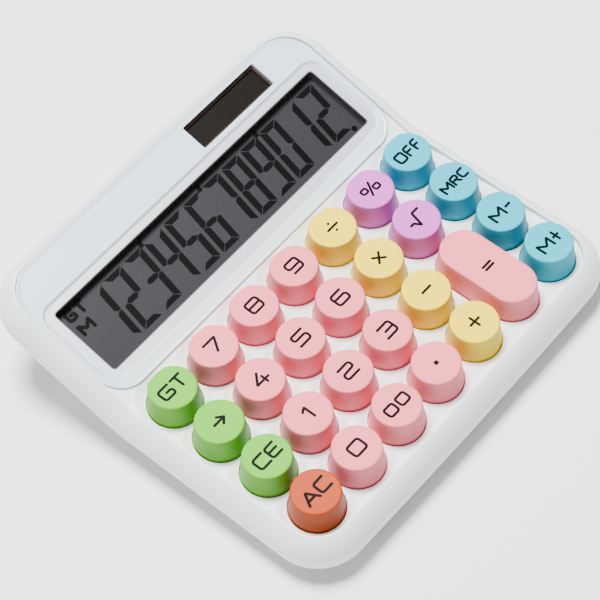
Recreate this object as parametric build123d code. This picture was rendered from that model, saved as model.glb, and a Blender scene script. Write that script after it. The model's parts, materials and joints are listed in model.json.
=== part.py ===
from build123d import *
import os
from math import atan, cos, degrees, radians, sin, tan

# Desk calculator: a round-edged frame bent once across its width, a keyboard deck with round
# tapered keys, a tilted display panel, and a wedge base. Millimetres and degrees.
# +X is right, +Y is away from the user, +Z is up. The origin is on the table at the middle of
# the footprint. "Depth" and n are measured along the normal of the deck or display plane,
# with n = 0 on the visible surface of the deck and of the display panel.

# Keys
KEY_PITCH = 19.05
KEY_COLUMNS = 7
KEY_ROWS = 4
FIRST_ROW = 9.05
KEY_TOP_RADIUS = 7.75
KEY_BASE_RADIUS = 8.67
KEY_HEIGHT = 8.1
KEY_EDGE_RADIUS = 0.35
KEY_WALL = 1.3
KEY_ROOF = 1.5
KEY_SKIRT_DEPTH = 2.5
KEY_FLANGE_RADIUS = 9.35
KEY_FLANGE = 0.8
KEY_STEM_RADIUS = 2.2
KEY_STEM_DEPTH = 3.75
HOLE_RADIUS = 9.05
DISH_RADIUS = 12.2
DISH_DEPTH = 0.35

# Body
WIDTH = 148.2
DECK_TILT = 3.0
BEND_ANGLE = 17.1
BEND_RADIUS = 16.0
BEND_HEIGHT = 19.8
DECK_LENGTH = 83.0
DISPLAY_LENGTH = 58.4
END_BOW = 0.9
CORNER_RADIUS = 16.5
CREST_HEIGHT = 1.9
UPPER_ROUND = 9.0
LOWER_ROUND = 5.9
FRAME_DEPTH = 15.1
PARTING_DEPTH = 10.3
RIM_SIDE = 5.9
RIM_REAR = 3.5
LEDGE = 1.4
LEDGE_THICKNESS = 1.8
SHELL_WALL = 2.4
PLATE = 2.2
FIT_GAP = 0.15

# Base
BASE_BOTTOM = 1.5
BASE_HALF_WIDTH = 60.5
BASE_FRONT_INSET = 9.0
BASE_REAR_INSET = 4.5
BASE_FLARE = 20.0
BASE_CORNER = 9.0
BASE_WALL = 2.0
FOOT_RADIUS = 5.0
FOOT_RECESS = 0.5
FOOT_X = 48.0
FOOT_FRONT_Y = -55.5
FOOT_REAR_Y = 38.0

# Display
PANEL_HALF_WIDTH = 68.15
PANEL_NEAR = 3.0
PANEL_CORNER = 10.0
WINDOW_SIZE = (123.5, 25.7)
WINDOW_V = 24.75
WINDOW_CORNER = 1.1
BEZEL_HALF_WIDTH = 66.0
BEZEL_NEAR = 8.5
BEZEL_BOW = 1.7
BEZEL_FAR = 40.9
BEZEL_DEPTH = 0.7
BEZEL_CORNER = 5.0
SOLAR_SIZE = (34.4, 10.1)
SOLAR_X = 31.9
SOLAR_V = 47.9
LENS_THICKNESS = 1.0
LCD_DEPTH = 4.2
LCD_THICKNESS = 2.0
LCD_SIZE = (126.0, 30.5)
HOLDER_SIZE = (131.6, 33.4)
BOARD_DEPTH = 7.2
BOARD = 1.2

# Keyboard electronics, depths below the deck
KEY_BOARD_DEPTH = 7.2
KEY_BOARD = 1.6
SHEET = 0.7
DOME_RADIUS = 4.6
DOME_TOP_RADIUS = 2.4
DOME_WALL = 0.7
KEY_BOARD_HALF_WIDTH = 63.0
KEY_BOARD_FAR = -1.2

# Screws
SCREW_RADIUS = 1.2
SCREW_HEAD_RADIUS = 2.3
SCREW_HEAD = 1.5
SCREW_LENGTH = 7.5
SEAT = 1.6
SEAT_GAP = 0.05
SCREW_CLEARANCE = 0.3
BOARD_SCREW_CLEARANCE = 0.2
PILOT_GAP = 0.02
REAR_POST_LENGTH = 13.0
POST_RADIUS = 2.7
POST_OVERRUN = 0.6
WELL_RADIUS = 4.0
BOARD_SCREW_RADIUS = 0.9
BOARD_SCREW_HEAD_RADIUS = 1.7
BOARD_SCREW_HEAD = 0.9
BOARD_SCREW_LENGTH = 5.0
REAR_SCREW_X = 53.2
REAR_SCREW_Y = 57.9

# Battery
CELL_RADIUS = 5.25
CELL_LENGTH = 43.7
CELL_X = -0.6
CONTACT = 0.5
CONTACT_SIZE = 8.5
BAY_Y = 51.5
BAY_HALF_LENGTH = 26.0
BAY_HALF_WIDTH = 5.8
BAY_WALL = 1.5
DOOR_HALF_WIDTH = 24.8
DOOR_TONGUE = 2.5
DOOR_FRONT_Y = 43.2
WIRE_RADIUS = 0.5

DISPLAY_TILT = DECK_TILT + BEND_ANGLE
BEND_TANGENT = BEND_RADIUS * tan(radians(BEND_ANGLE / 2))
FRAME_BOTTOM = CREST_HEIGHT - FRAME_DEPTH
EQUATOR = CREST_HEIGHT - UPPER_ROUND - 0.1
BOTTOM = (Align.CENTER, Align.CENTER, Align.MIN)
TOP = (Align.CENTER, Align.CENTER, Align.MAX)


def reaches():
    """Level distances from the bend line to the front and rear of the footprint."""
    reach = DISPLAY_LENGTH + END_BOW - LOWER_ROUND
    drop = -EQUATOR
    rear = reach * cos(radians(DISPLAY_TILT)) + drop * sin(radians(DISPLAY_TILT)) + LOWER_ROUND
    reach = DECK_LENGTH + END_BOW - UPPER_ROUND
    front = reach * cos(radians(DECK_TILT)) - drop * sin(radians(DECK_TILT)) + UPPER_ROUND
    return front, rear


FRONT_REACH, REAR_REACH = reaches()
BEND_Y = (FRONT_REACH - REAR_REACH) / 2
BEND_POINT = Vector(0, BEND_Y, BEND_HEIGHT)


def tilted(angle):
    """Plane through the bend line, facing up and leaning back by angle."""
    up = (0, -sin(radians(angle)), cos(radians(angle)))
    return Plane(origin=BEND_POINT, x_dir=(1, 0, 0), z_dir=up)


DECK = tilted(DECK_TILT)
DISPLAY = tilted(DISPLAY_TILT)
MIDDLE = tilted(DECK_TILT + BEND_ANGLE / 2)


def point(plane, y, n):
    return plane.from_local_coords(Vector(0, y, n))


def side_profile(front, rear, low, high):
    """Side view of a bent layer between depths low and high, as a face in the middle plane."""

    def bend(n):
        centre = point(DECK, -BEND_TANGENT, BEND_RADIUS)
        return centre - MIDDLE.z_dir * (BEND_RADIUS - n)

    lower = [
        Line(point(DECK, front, low), point(DECK, -BEND_TANGENT, low)),
        ThreePointArc(point(DECK, -BEND_TANGENT, low), bend(low), point(DISPLAY, BEND_TANGENT, low)),
        Line(point(DISPLAY, BEND_TANGENT, low), point(DISPLAY, rear, low)),
    ]
    upper = [
        Line(point(DISPLAY, rear, high), point(DISPLAY, BEND_TANGENT, high)),
        ThreePointArc(point(DISPLAY, BEND_TANGENT, high), bend(high), point(DECK, -BEND_TANGENT, high)),
        Line(point(DECK, -BEND_TANGENT, high), point(DECK, front, high)),
    ]
    ends = [
        Line(point(DISPLAY, rear, low), point(DISPLAY, rear, high)),
        Line(point(DECK, front, high), point(DECK, front, low)),
    ]
    return Face(Wire(lower + [ends[0]] + upper + [ends[1]]))


def end_outline(half_width, end, corner, sign):
    """Plan of one bowed end with rounded corners, reaching far past the bend."""
    far = -150 * sign
    edges = [
        Line((-half_width, far), (-half_width, end)),
        ThreePointArc((-half_width, end), (0, end + sign * END_BOW), (half_width, end)),
        Line((half_width, end), (half_width, far)),
        Line((half_width, far), (-half_width, far)),
    ]
    face = make_face(Wire(edges))
    corners = face.vertices().filter_by(lambda v: abs(v.Y - end) < 1)
    return fillet(corners, corner)


def bent_block(side, rear, low, high):
    """Bent layer inset by side at the left, right and front, and by rear at the back."""
    half_width = WIDTH / 2 - side
    corner = CORNER_RADIUS - side
    rear_corner = CORNER_RADIUS - (side + rear) / 2
    layer = extrude(side_profile(-120, 120, low, high), WIDTH / 2 + 10, dir=(1, 0, 0), both=True)
    front_plan = end_outline(half_width, -(DECK_LENGTH - side), corner, -1)
    rear_plan = end_outline(half_width, DISPLAY_LENGTH - rear, rear_corner, 1)
    layer = layer & extrude(DECK * front_plan, 60, both=True)
    return layer & extrude(DISPLAY * rear_plan, 60, both=True)


def region(low, high):
    """Everything between two depths, wider than the body."""
    return extrude(side_profile(-140, 140, low, high), WIDTH, dir=(1, 0, 0), both=True)


def rim_edges(solid, upward):
    """Edges round the top or bottom of a bent layer."""
    faces = [f for f in solid.faces() if f.normal_at().Z * upward > 0.5]
    edges = [e for f in faces for e in f.edges()]
    return ShapeList([e for e in edges if sum(e.is_same(other) for other in edges) == 1])


def outer_body():
    body = bent_block(0, 0, FRAME_BOTTOM, CREST_HEIGHT)
    body = fillet(rim_edges(body, 1), UPPER_ROUND)
    return fillet(rim_edges(body, -1), LOWER_ROUND)


def cylinder(plane, x, y, low, high, radius):
    return plane * Pos(x, y, low) * Cylinder(radius, high - low, align=BOTTOM)


def block(plane, x, y, low, high, length, width):
    return plane * Pos(x, y, low) * Box(length, width, high - low, align=BOTTOM)


def key_centre(column, row):
    """Place of a key on the deck, in the deck's own coordinates."""
    return KEY_PITCH * (column - (KEY_COLUMNS - 1) / 2), -FIRST_ROW - KEY_PITCH * row


def key_outline(radius, tall):
    if tall:
        return Rot(Z=90) * SlotCenterToCenter(KEY_PITCH, 2 * radius)
    return Circle(radius)


def key_plan():
    """Name, column, row and whether the key is two rows tall."""
    names = [
        ["gt", "7", "8", "9", "divide", "percent", "off"],
        ["backspace", "4", "5", "6", "multiply", "square_root", "memory_recall"],
        ["ce", "1", "2", "3", "minus", "equals", "memory_minus"],
        ["ac", "0", "00", "point", "plus", None, "memory_plus"],
    ]
    keys = []
    for row, line in enumerate(names):
        for column, name in enumerate(line):
            if name:
                tall = name == "equals"
                keys.append(("key_" + name, column, row + (0.5 if tall else 0), tall))
    return keys


KEYS = key_plan()
# Saddles between four round keys that carry screw posts, as column and row
CASE_SADDLES = [(0.5, 0.5), (5.5, 0.5), (0.5, 2.5), (3.5, 2.5)]
BOARD_SADDLES = [(1.5, 0.5), (4.5, 0.5), (1.5, 2.5), (3.5, 1.5)]


def keycap(column, row, tall):
    """Tapered hollow cap with a retaining flange under the deck and a central stem."""
    x, y = key_centre(column, row)
    at = DECK * Pos(x, y, 0)
    taper = degrees(atan((KEY_BASE_RADIUS - KEY_TOP_RADIUS) / KEY_HEIGHT))
    cap = extrude(key_outline(KEY_BASE_RADIUS, tall), KEY_HEIGHT, taper=taper)
    cap = fillet(cap.faces().sort_by(Axis.Z)[-1].edges(), KEY_EDGE_RADIUS)
    skirt = extrude(key_outline(KEY_BASE_RADIUS, tall), -KEY_SKIRT_DEPTH)
    flange_plane = Pos(0, 0, -KEY_SKIRT_DEPTH)
    flange = extrude(flange_plane * key_outline(KEY_FLANGE_RADIUS, tall), -KEY_FLANGE)
    hollow_depth = KEY_SKIRT_DEPTH + KEY_FLANGE
    hollow_plane = Pos(0, 0, -hollow_depth)
    hollow_outline = key_outline(KEY_BASE_RADIUS - KEY_WALL, tall)
    hollow = extrude(hollow_plane * hollow_outline, hollow_depth + KEY_HEIGHT - KEY_ROOF, taper=taper)
    stem_height = KEY_STEM_DEPTH + KEY_HEIGHT - KEY_ROOF
    stem = Pos(0, 0, -KEY_STEM_DEPTH) * Cylinder(KEY_STEM_RADIUS, stem_height, align=BOTTOM)
    return at * (cap + skirt + flange - hollow + stem)


def key_opening(column, row, tall):
    """Hole in the deck with the shallow dish round it."""
    x, y = key_centre(column, row)
    hole = extrude(key_outline(HOLE_RADIUS, tall), 20, both=True)
    bottom = Pos(0, 0, -DISH_DEPTH) * key_outline(HOLE_RADIUS, tall)
    top = key_outline(DISH_RADIUS, tall)
    return DECK * Pos(x, y, 0) * (hole + loft([bottom, top]))


def panel_plan(gap):
    """Plan of the display panel: rounded near corners, running under nothing at the sides."""
    half_width = PANEL_HALF_WIDTH + gap
    near = PANEL_NEAR - gap
    far = DISPLAY_LENGTH + 20
    corners = [(-half_width, far), (-half_width, near), (half_width, near), (half_width, far)]
    face = make_face(Polyline(corners, close=True))
    corners = face.vertices().filter_by(lambda v: abs(v.Y - near) < 0.01)
    return fillet(corners, PANEL_CORNER)


def insert_layer():
    """The plate that fills the frame's opening: deck and display panel together."""
    return bent_block(RIM_SIDE + FIT_GAP, RIM_REAR + FIT_GAP, -PLATE, 0)


def keyboard_deck(layer):
    deck = layer - extrude(DISPLAY * panel_plan(FIT_GAP), 40, both=True)
    for _, column, row, tall in KEYS:
        deck = deck - key_opening(column, row, tall)
    for column, row in CASE_SADDLES:
        x, y = key_centre(column, row)
        deck = deck + cylinder(DECK, x, y, deck_post_foot(), -PLATE / 2, POST_RADIUS)
        deck = deck - cylinder(DECK, x, y, -20, -PLATE, SCREW_RADIUS + PILOT_GAP)
    for column, row in BOARD_SADDLES:
        x, y = key_centre(column, row)
        deck = deck + cylinder(DECK, x, y, -KEY_BOARD_DEPTH, -PLATE / 2, POST_RADIUS)
        deck = deck - cylinder(DECK, x, y, -20, -PLATE, BOARD_SCREW_RADIUS + PILOT_GAP)
    return deck


def bezel_plan():
    """Plan of the shallow recess round the display window, with its bowed near edge."""
    edges = [
        Line((-BEZEL_HALF_WIDTH, BEZEL_FAR), (-BEZEL_HALF_WIDTH, BEZEL_NEAR)),
        ThreePointArc(
            (-BEZEL_HALF_WIDTH, BEZEL_NEAR),
            (0, BEZEL_NEAR - BEZEL_BOW),
            (BEZEL_HALF_WIDTH, BEZEL_NEAR),
        ),
        Line((BEZEL_HALF_WIDTH, BEZEL_NEAR), (BEZEL_HALF_WIDTH, BEZEL_FAR)),
        Line((BEZEL_HALF_WIDTH, BEZEL_FAR), (-BEZEL_HALF_WIDTH, BEZEL_FAR)),
    ]
    face = make_face(Wire(edges))
    return fillet(face.vertices(), BEZEL_CORNER)


def window_plan(size, corner):
    return RectangleRounded(*size, corner)


def display_panel(layer):
    panel = layer & extrude(DISPLAY * panel_plan(0), 40, both=True)
    panel = panel - extrude(DISPLAY * Pos(0, 0, -BEZEL_DEPTH) * bezel_plan(), 10)
    window = DISPLAY * Pos(0, WINDOW_V, 0) * window_plan(WINDOW_SIZE, WINDOW_CORNER)
    panel = panel - extrude(window, 10, both=True)
    solar = window_plan(SOLAR_SIZE, 0.6)
    panel = panel - extrude(DISPLAY * Pos(SOLAR_X, SOLAR_V, -1.3) * solar, 10)
    inner = window_plan((SOLAR_SIZE[0] - 1.6, SOLAR_SIZE[1] - 1.6), 0.4)
    panel = panel - extrude(DISPLAY * Pos(SOLAR_X, SOLAR_V, -5) * inner, 10)
    for x in (-REAR_SCREW_X, REAR_SCREW_X):
        post = Pos(x, REAR_SCREW_Y, rear_post_foot()) * Cylinder(POST_RADIUS, 40, align=BOTTOM)
        panel = panel + (post & region(-40, -PLATE / 2))
        pilot = Pos(x, REAR_SCREW_Y, rear_post_foot()) * Cylinder(SCREW_RADIUS + PILOT_GAP, 8, align=BOTTOM)
        panel = panel - pilot
    return panel


def top_frame(body):
    """Bent ring with a half-round edge, a ledge for the deck and panel, and a hollow below it."""
    frame = body & region(-PARTING_DEPTH, 10)
    frame = frame - bent_block(RIM_SIDE, RIM_REAR, -PLATE, 10)
    frame = frame - bent_block(RIM_SIDE + LEDGE, RIM_REAR + LEDGE, -PLATE - 5, 10)
    return frame - bent_block(SHELL_WALL, SHELL_WALL - 0.6, -30, -PLATE - LEDGE_THICKNESS)


def base_wedge(inset, floor):
    """Flared prism with rounded corners, inset all round by a wall thickness."""
    flare = tan(radians(BASE_FLARE))
    height = 45.0
    low = BASE_HALF_WIDTH - inset + flare * floor
    high = low + flare * height
    front = -FRONT_REACH + BEND_Y + BASE_FRONT_INSET + inset
    rear = BEND_Y + REAR_REACH - BASE_REAR_INSET - inset
    corners = [(-low, 0), (low, 0), (high, height), (-high, height)]
    section = make_face(Polyline([Vector(x, front, BASE_BOTTOM + floor + z) for x, z in corners], close=True))
    wedge = extrude(section, rear - front, dir=(0, 1, 0))
    upright = wedge.edges().filter_by(lambda e: abs(e.tangent_at(0).Z) > 0.8)
    return fillet(upright, BASE_CORNER - inset)


def deck_post_foot():
    """Depth of the lower ends of the deck posts that pass through the key board."""
    return -KEY_BOARD_DEPTH - KEY_BOARD - POST_OVERRUN


def rear_post_foot():
    """Height of the rear posts' lower ends above the table."""
    up_slope = (REAR_SCREW_Y - BEND_Y) / cos(radians(DISPLAY_TILT))
    return point(DISPLAY, up_slope, 0).Z - REAR_POST_LENGTH


def bottom_case(body):
    """Lower half of the round edge, the wedge base, screw wells, board rests and the door opening."""
    below = region(-80, -PARTING_DEPTH)
    case = (body & below) + (base_wedge(0, 0) & below)
    case = case - base_wedge(BASE_WALL, BASE_WALL)
    case = case - bent_block(SHELL_WALL + 2.1, SHELL_WALL + 2.1, -PARTING_DEPTH - 0.7, 0)
    inner = base_wedge(BASE_WALL / 2, BASE_WALL / 2)
    for column, row in CASE_SADDLES:
        x, y = key_centre(column, row)
        top = deck_post_foot() - SEAT_GAP
        well = cylinder(DECK, x, y, -30, top, WELL_RADIUS)
        case = case + (well & inner)
        case = case - cylinder(DECK, x, y, -30, top - SEAT, SCREW_HEAD_RADIUS + SCREW_CLEARANCE)
        case = case - cylinder(DECK, x, y, -30, 0, SCREW_RADIUS + SCREW_CLEARANCE)
    for x in (-REAR_SCREW_X, REAR_SCREW_X):
        top = rear_post_foot() - SEAT_GAP
        at = Pos(x, REAR_SCREW_Y, 0)
        case = case + (at * Cylinder(WELL_RADIUS, top, align=BOTTOM) & inner)
        case = case - at * Cylinder(SCREW_HEAD_RADIUS + SCREW_CLEARANCE, top - SEAT, align=BOTTOM)
        case = case - at * Cylinder(SCREW_RADIUS + SCREW_CLEARANCE, top + 1, align=BOTTOM)
    for x, y in feet_places():
        case = case - Pos(x, y, 0) * Cylinder(FOOT_RADIUS, BASE_BOTTOM + FOOT_RECESS, align=BOTTOM)
    return case - door_opening()


def feet_places():
    return [(x, y) for x in (-FOOT_X, FOOT_X) for y in (FOOT_FRONT_Y, FOOT_REAR_Y)]


def rear_wall_y():
    return BEND_Y + REAR_REACH - BASE_REAR_INSET


def door_opening():
    """Floor slot for the battery door and the wider notch in the rear wall that it slides through."""
    rear = rear_wall_y() + 5
    floor_slot = Pos(0, DOOR_FRONT_Y - 0.2, 0) * Box(
        2 * DOOR_HALF_WIDTH + 0.4,
        rear - DOOR_FRONT_Y + 0.2,
        BASE_BOTTOM + BASE_WALL + 0.05,
        align=(Align.CENTER, Align.MIN, Align.MIN),
    )
    notch_front = rear_wall_y() - BASE_WALL - 0.1
    notch = Pos(0, notch_front, 0) * Box(
        2 * (DOOR_HALF_WIDTH + DOOR_TONGUE) + 0.6,
        rear - notch_front,
        BASE_BOTTOM + BASE_WALL + 1.0,
        align=(Align.CENTER, Align.MIN, Align.MIN),
    )
    return floor_slot + notch


def battery_door():
    """Sliding door: a floor plate, side tongues that ride on the case floor, and a rear lip."""
    rear = rear_wall_y()
    min_y = (Align.CENTER, Align.MIN, Align.MIN)
    plate = Pos(0, DOOR_FRONT_Y, BASE_BOTTOM) * Box(
        2 * DOOR_HALF_WIDTH, rear - DOOR_FRONT_Y, BASE_WALL + 0.4, align=min_y
    )
    tongue_z = BASE_BOTTOM + BASE_WALL + 0.1
    tongue = Pos(0, DOOR_FRONT_Y - 1.5, tongue_z) * Box(
        2 * (DOOR_HALF_WIDTH + DOOR_TONGUE), rear - DOOR_FRONT_Y + 1.5, 0.7, align=min_y
    )
    lip = Pos(0, rear - BASE_WALL + 0.1, BASE_BOTTOM) * Box(
        2 * (DOOR_HALF_WIDTH + DOOR_TONGUE), BASE_WALL - 0.1, BASE_WALL + 0.8, align=min_y
    )
    door = plate + tongue + lip
    for step in range(5):
        groove = Pos(0, rear - 5 - 2 * step, BASE_BOTTOM) * Box(18, 0.9, 0.8)
        door = door - groove
    return door


def battery_tray():
    """Black bay over the door, open below, that holds the cell between its two contacts."""
    low = BASE_BOTTOM + BASE_WALL
    height = 2 * CELL_RADIUS + 3.4
    length = 2 * (DOOR_HALF_WIDTH + DOOR_TONGUE) + 4.2
    outer = Pos(0, BAY_Y, low) * Box(length, 2 * (BAY_HALF_WIDTH + BAY_WALL), height, align=BOTTOM)
    bay = Pos(0, BAY_Y, low) * Box(2 * BAY_HALF_LENGTH, 2 * BAY_HALF_WIDTH, height - BAY_WALL, align=BOTTOM)
    door_path = Pos(0, BAY_Y, low) * Box(length - 3.2, 40, 1.1, align=BOTTOM)
    return outer - bay - door_path


def cell_height():
    return BASE_BOTTOM + BASE_WALL + 1.2 + CELL_RADIUS


def battery_cell():
    """Small round cell with its raised positive end, lying across the body."""
    can = Rot(Y=90) * Cylinder(CELL_RADIUS, CELL_LENGTH)
    can = fillet(can.edges().filter_by(GeomType.CIRCLE), 0.5)
    pip = Pos(CELL_LENGTH / 2, 0, 0) * Rot(Y=90) * Cylinder(1.9, 2.0)
    return Pos(CELL_X, BAY_Y, cell_height()) * (can + pip)


def spring_contact():
    """Negative contact: a plate on the bay's end wall and a short coil that presses the cell."""
    wall = -BAY_HALF_LENGTH
    plate = Pos(wall + CONTACT / 2, BAY_Y, cell_height()) * Box(CONTACT, CONTACT_SIZE, CONTACT_SIZE)
    coil_length = BAY_HALF_LENGTH + CELL_X - CELL_LENGTH / 2 - CONTACT - 0.8
    path = Plane(origin=(wall + 0.7, BAY_Y, cell_height()), x_dir=(0, 1, 0), z_dir=(1, 0, 0)) * Helix(
        coil_length / 3, coil_length, 2.6
    )
    coil = sweep(Plane(origin=path @ 0, z_dir=path % 0) * Circle(0.35), path=path, is_frenet=True)
    return plate + coil


def plate_contact():
    wall = BAY_HALF_LENGTH
    end = CELL_X + CELL_LENGTH / 2 + 1.0
    plate = Pos(wall - CONTACT / 2, BAY_Y, cell_height()) * Box(CONTACT, CONTACT_SIZE, CONTACT_SIZE)
    dimple = Pos((end + wall) / 2, BAY_Y, cell_height()) * Rot(Y=90) * Cylinder(1.6, wall - end)
    return plate + dimple


def key_board_face():
    """Plan of the key board and dome sheet."""
    near = -FIRST_ROW - KEY_PITCH * (KEY_ROWS - 1) - 9.0
    middle = (near + KEY_BOARD_FAR) / 2
    return Pos(0, middle) * Rectangle(2 * KEY_BOARD_HALF_WIDTH, KEY_BOARD_FAR - near)


def key_board():
    board = extrude(DECK * Pos(0, 0, -KEY_BOARD_DEPTH - KEY_BOARD) * key_board_face(), KEY_BOARD)
    for column, row in CASE_SADDLES:
        x, y = key_centre(column, row)
        board = board - cylinder(DECK, x, y, -20, 0, POST_RADIUS + 0.3)
    for column, row in BOARD_SADDLES:
        x, y = key_centre(column, row)
        board = board - cylinder(DECK, x, y, -20, 0, BOARD_SCREW_RADIUS + BOARD_SCREW_CLEARANCE)
    return board


def dome_sheet():
    """Rubber sheet with one hollow dome under each key."""
    top = -KEY_BOARD_DEPTH + SHEET
    sheet = extrude(DECK * Pos(0, 0, -KEY_BOARD_DEPTH) * key_board_face(), SHEET)
    for column, row in CASE_SADDLES + BOARD_SADDLES:
        x, y = key_centre(column, row)
        sheet = sheet - cylinder(DECK, x, y, -20, 0, POST_RADIUS + 0.4)
    rise = -KEY_STEM_DEPTH - 0.02 - top
    for _, column, row, _ in KEYS:
        x, y = key_centre(column, row)
        dome = DECK * Pos(x, y, top - 0.01) * Cone(DOME_RADIUS, DOME_TOP_RADIUS, rise + 0.01, align=BOTTOM)
        void = DECK * Pos(x, y, -KEY_BOARD_DEPTH) * Cone(
            DOME_RADIUS - DOME_WALL, DOME_TOP_RADIUS - DOME_WALL, rise + SHEET - 0.9, align=BOTTOM
        )
        sheet = sheet + dome - void
    return sheet


def screw(radius, length, head_radius, head):
    """Pan-head screw pointing up, seated with the underside of its head at z = 0."""
    body = Pos(0, 0, -head) * Cylinder(head_radius, head, align=BOTTOM)
    body = fillet(body.edges().sort_by(Axis.Z)[0], head * 0.4)
    body = body + Cylinder(radius, length, align=BOTTOM)
    slot = Pos(0, 0, -head) * (Box(head_radius * 1.2, 0.5, head) + Box(0.5, head_radius * 1.2, head))
    return body - slot


def case_screws():
    seat = deck_post_foot() - SEAT_GAP - SEAT
    one = screw(SCREW_RADIUS, SCREW_LENGTH, SCREW_HEAD_RADIUS, SCREW_HEAD)
    group = [DECK * Pos(*key_centre(c, r), seat) * one for c, r in CASE_SADDLES]
    rear_seat = rear_post_foot() - SEAT_GAP - SEAT
    group += [Pos(x, REAR_SCREW_Y, rear_seat) * one for x in (-REAR_SCREW_X, REAR_SCREW_X)]
    return Compound(children=group)


def key_board_screws():
    one = screw(BOARD_SCREW_RADIUS, BOARD_SCREW_LENGTH, BOARD_SCREW_HEAD_RADIUS, BOARD_SCREW_HEAD)
    seat = -KEY_BOARD_DEPTH - KEY_BOARD
    return Compound(children=[DECK * Pos(*key_centre(c, r), seat) * one for c, r in BOARD_SADDLES])


def holder_screw_places():
    return [(x, WINDOW_V + v) for x in (-64.4, 64.4) for v in (-11.0, 11.0)]


def display_board_screws():
    one = screw(BOARD_SCREW_RADIUS, 3.5, 1.3, BOARD_SCREW_HEAD)
    seat = -BOARD_DEPTH - BOARD
    return Compound(children=[DISPLAY * Pos(x, v, seat) * one for x, v in holder_screw_places()])


def lcd_lens():
    plan = DISPLAY * Pos(0, WINDOW_V, -PLATE - LENS_THICKNESS) * RectangleRounded(127.0, 29.5, 1.5)
    return extrude(plan, LENS_THICKNESS)


def lcd_holder():
    """Black tub that spaces the display glass below the lens and shades its edges."""
    plan = DISPLAY * Pos(0, WINDOW_V, -BOARD_DEPTH) * RectangleRounded(*HOLDER_SIZE, 2.0)
    holder = extrude(plan, BOARD_DEPTH - PLATE)
    lens_seat = DISPLAY * Pos(0, WINDOW_V, -PLATE - LENS_THICKNESS) * RectangleRounded(127.4, 29.9, 1.6)
    holder = holder - extrude(lens_seat, 5)
    window = DISPLAY * Pos(0, WINDOW_V, -20) * window_plan(WINDOW_SIZE, WINDOW_CORNER)
    holder = holder - extrude(window, 30)
    glass_seat = DISPLAY * Pos(0, WINDOW_V, -20) * Rectangle(LCD_SIZE[0] + 0.4, LCD_SIZE[1] + 0.4)
    holder = holder - extrude(glass_seat, 20 - LCD_DEPTH)
    for x, v in holder_screw_places():
        holder = holder - cylinder(DISPLAY, x, v, -20, -4, BOARD_SCREW_RADIUS + PILOT_GAP)
    return holder


def lcd_glass():
    plan = DISPLAY * Pos(0, WINDOW_V, -LCD_DEPTH - LCD_THICKNESS) * Rectangle(*LCD_SIZE)
    return extrude(plan, LCD_THICKNESS)


def zebra_connector():
    low = -BOARD_DEPTH
    return block(DISPLAY, 0, WINDOW_V + 12.5, low, -LCD_DEPTH - LCD_THICKNESS, 118, 2.4)


def display_board():
    board = block(DISPLAY, 0, WINDOW_V, -BOARD_DEPTH - BOARD, -BOARD_DEPTH, *HOLDER_SIZE)
    for x, v in holder_screw_places():
        board = board - cylinder(DISPLAY, x, v, -20, 0, BOARD_SCREW_RADIUS + BOARD_SCREW_CLEARANCE)
    return board


def controller_chip():
    """Round potted chip on the underside of the display board."""
    blob = Cylinder(7, 1.5, align=TOP)
    blob = fillet(blob.edges().sort_by(Axis.Z)[0], 1.2)
    return DISPLAY * Pos(-18, WINDOW_V, -BOARD_DEPTH - BOARD) * blob


def capacitor():
    can = Cylinder(2.5, 5.5, align=TOP)
    can = fillet(can.edges().sort_by(Axis.Z)[0], 0.5)
    return DISPLAY * Pos(44, WINDOW_V + 8, -BOARD_DEPTH - BOARD) * can


def solar_cover():
    size = (SOLAR_SIZE[0] - 0.2, SOLAR_SIZE[1] - 0.2)
    return extrude(DISPLAY * Pos(SOLAR_X, SOLAR_V, -1.3) * window_plan(size, 0.5), 1.1)


def solar_cell():
    return block(DISPLAY, SOLAR_X, SOLAR_V, -PLATE - 1.1, -PLATE, SOLAR_SIZE[0] + 1.4, 10.6)


def wire(points):
    """Round wire along straight runs joined by arcs as large as the runs allow."""
    points = [Vector(*p) for p in points]
    radii = []
    for before, corner, after in zip(points, points[1:], points[2:]):
        run_in = corner - before
        run_out = after - corner
        half_turn = radians(run_in.get_angle(run_out)) / 2
        radii.append(0.45 * min(run_in.length, run_out.length) / tan(half_turn))
    path = FilletPolyline(*points, radius=radii)
    return sweep(Plane(origin=path @ 0, z_dir=path % 0) * Circle(WIRE_RADIUS), path=path)


def battery_wires():
    """Two leads from the contacts' upper edges up to the display board."""
    wires = []
    for side in (-1, 1):
        start = Vector(side * (BAY_HALF_LENGTH + 6.5), BAY_Y - 2, cell_height() + 4)
        board = DISPLAY.from_local_coords(Vector(side * 30, WINDOW_V + 10, -BOARD_DEPTH - BOARD - 0.02))
        bend = DISPLAY.from_local_coords(Vector(side * 30, WINDOW_V + 10, -BOARD_DEPTH - BOARD - 4))
        wires.append(wire([start, start + Vector(side * 1.0, 0, 4), bend, board]))
    return Compound(children=wires)


def solar_wires():
    wires = []
    for offset in (-3, 3):
        x = SOLAR_X + offset
        route = [
            (x, SOLAR_V - 1, -PLATE - 1.12),
            (x, SOLAR_V - 1, -9),
            (x, WINDOW_V + 17, -13),
            (x, WINDOW_V + 12, -13),
            (x, WINDOW_V + 12, -BOARD_DEPTH - BOARD - 0.02),
        ]
        wires.append(wire([DISPLAY.from_local_coords(Vector(*p)) for p in route]))
    return Compound(children=wires)


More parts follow.
